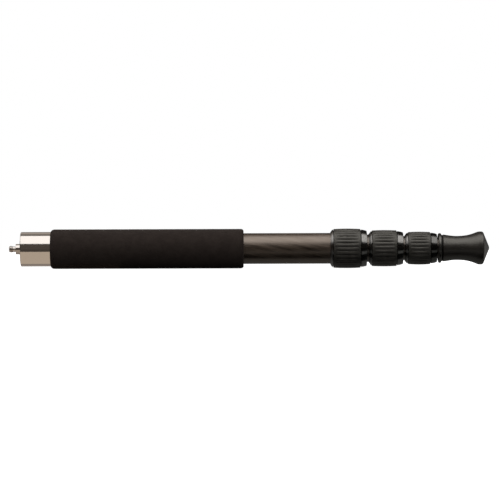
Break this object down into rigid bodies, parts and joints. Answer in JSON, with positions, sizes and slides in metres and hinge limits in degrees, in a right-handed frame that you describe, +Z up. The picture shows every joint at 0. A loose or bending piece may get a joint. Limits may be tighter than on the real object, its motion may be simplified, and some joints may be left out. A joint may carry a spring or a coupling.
{
  "type": "telescopic camera leg",
  "caption": "Folded telescopic carbon leg with twist locks, foam grip, steel head with a camera stud and a flared rubber foot.",
  "frame": {"origin": "on the leg's axis at the head's shoulder face, where the spigot begins", "axes": "+X along the leg towards its foot, +Z up, -X out of the camera stud"},
  "size_m": [0.4369, 0.036, 0.036],
  "materials": {
    "steel": "polished stainless steel, turned",
    "foam": "matte closed-cell foam",
    "carbon": "satin woven carbon fibre in clear resin",
    "anodised": "black anodised, fine grain",
    "plug_aluminium": "plain turned",
    "insert_steel": "blackened",
    "grip_rubber": "matte moulded rubber",
    "foot_rubber": "satin moulded rubber",
    "seal_rubber": "smooth moulded rubber",
    "acetal": "natural acetal"
  },
  "bodies": {
    "section_1": {"camera_stud": "steel", "head": "steel", "foam_grip": "foam", "tube_1": "carbon", "ferrule_1": "anodised"},
    "section_2": {"tube_2": "carbon", "guide_shells_2": "acetal", "ferrule_2": "anodised"},
    "section_3": {"tube_3": "carbon", "guide_shells_3": "acetal", "ferrule_3": "anodised"},
    "section_4": {"tube_4": "carbon", "guide_shells_4": "acetal", "end_plug": "plug_aluminium", "stop_disc": "foot_rubber", "foot_insert": "insert_steel", "rubber_foot": "foot_rubber"},
    "collet_body_1": {"collet_1": "acetal"},
    "collar_body_1": {"collar_1": "anodised", "grip_ring_1": "grip_rubber", "wiper_1": "seal_rubber"},
    "collet_body_2": {"collet_2": "acetal"},
    "collar_body_2": {"collar_2": "anodised", "grip_ring_2": "grip_rubber", "wiper_2": "seal_rubber"},
    "collet_body_3": {"collet_3": "acetal"},
    "collar_body_3": {"collar_3": "anodised", "grip_ring_3": "grip_rubber", "wiper_3": "seal_rubber"}
  },
  "joints": [
    {"name": "section_2_slide", "type": "slide", "parent": "section_1", "child": "section_2", "axis": [1, 0, 0], "range_m": [0, 0.2459]},
    {"name": "section_3_slide", "type": "slide", "parent": "section_2", "child": "section_3", "axis": [1, 0, 0], "range_m": [0, 0.2759]},
    {"name": "section_4_slide", "type": "slide", "parent": "section_3", "child": "section_4", "axis": [1, 0, 0], "range_m": [0, 0.3037]},
    {"name": "lock_1_advance", "type": "slide", "parent": "section_1", "child": "collet_body_1", "axis": [1, 0, 0], "range_m": [0, 0.00051]},
    {"name": "lock_1_turn", "type": "hinge", "parent": "collet_body_1", "child": "collar_body_1", "pos_m": [0.3, 0, 0], "axis": [1, 0, 0], "range_deg": [0, 120]},
    {"name": "lock_2_advance", "type": "slide", "parent": "section_2", "child": "collet_body_2", "axis": [1, 0, 0], "range_m": [0, 0.00051]},
    {"name": "lock_2_turn", "type": "hinge", "parent": "collet_body_2", "child": "collar_body_2", "pos_m": [0.3, 0, 0], "axis": [1, 0, 0], "range_deg": [0, 120]},
    {"name": "lock_3_advance", "type": "slide", "parent": "section_3", "child": "collet_body_3", "axis": [1, 0, 0], "range_m": [0, 0.00051]},
    {"name": "lock_3_turn", "type": "hinge", "parent": "collet_body_3", "child": "collar_body_3", "pos_m": [0.3, 0, 0], "axis": [1, 0, 0], "range_deg": [0, 120]}
  ],
  "couplings": [
    {"joint": "lock_1_advance", "follows": "lock_1_turn", "m_per_rad": 0.00023873},
    {"joint": "lock_2_advance", "follows": "lock_2_turn", "m_per_rad": 0.00023873},
    {"joint": "lock_3_advance", "follows": "lock_3_turn", "m_per_rad": 0.00023873}
  ]
}
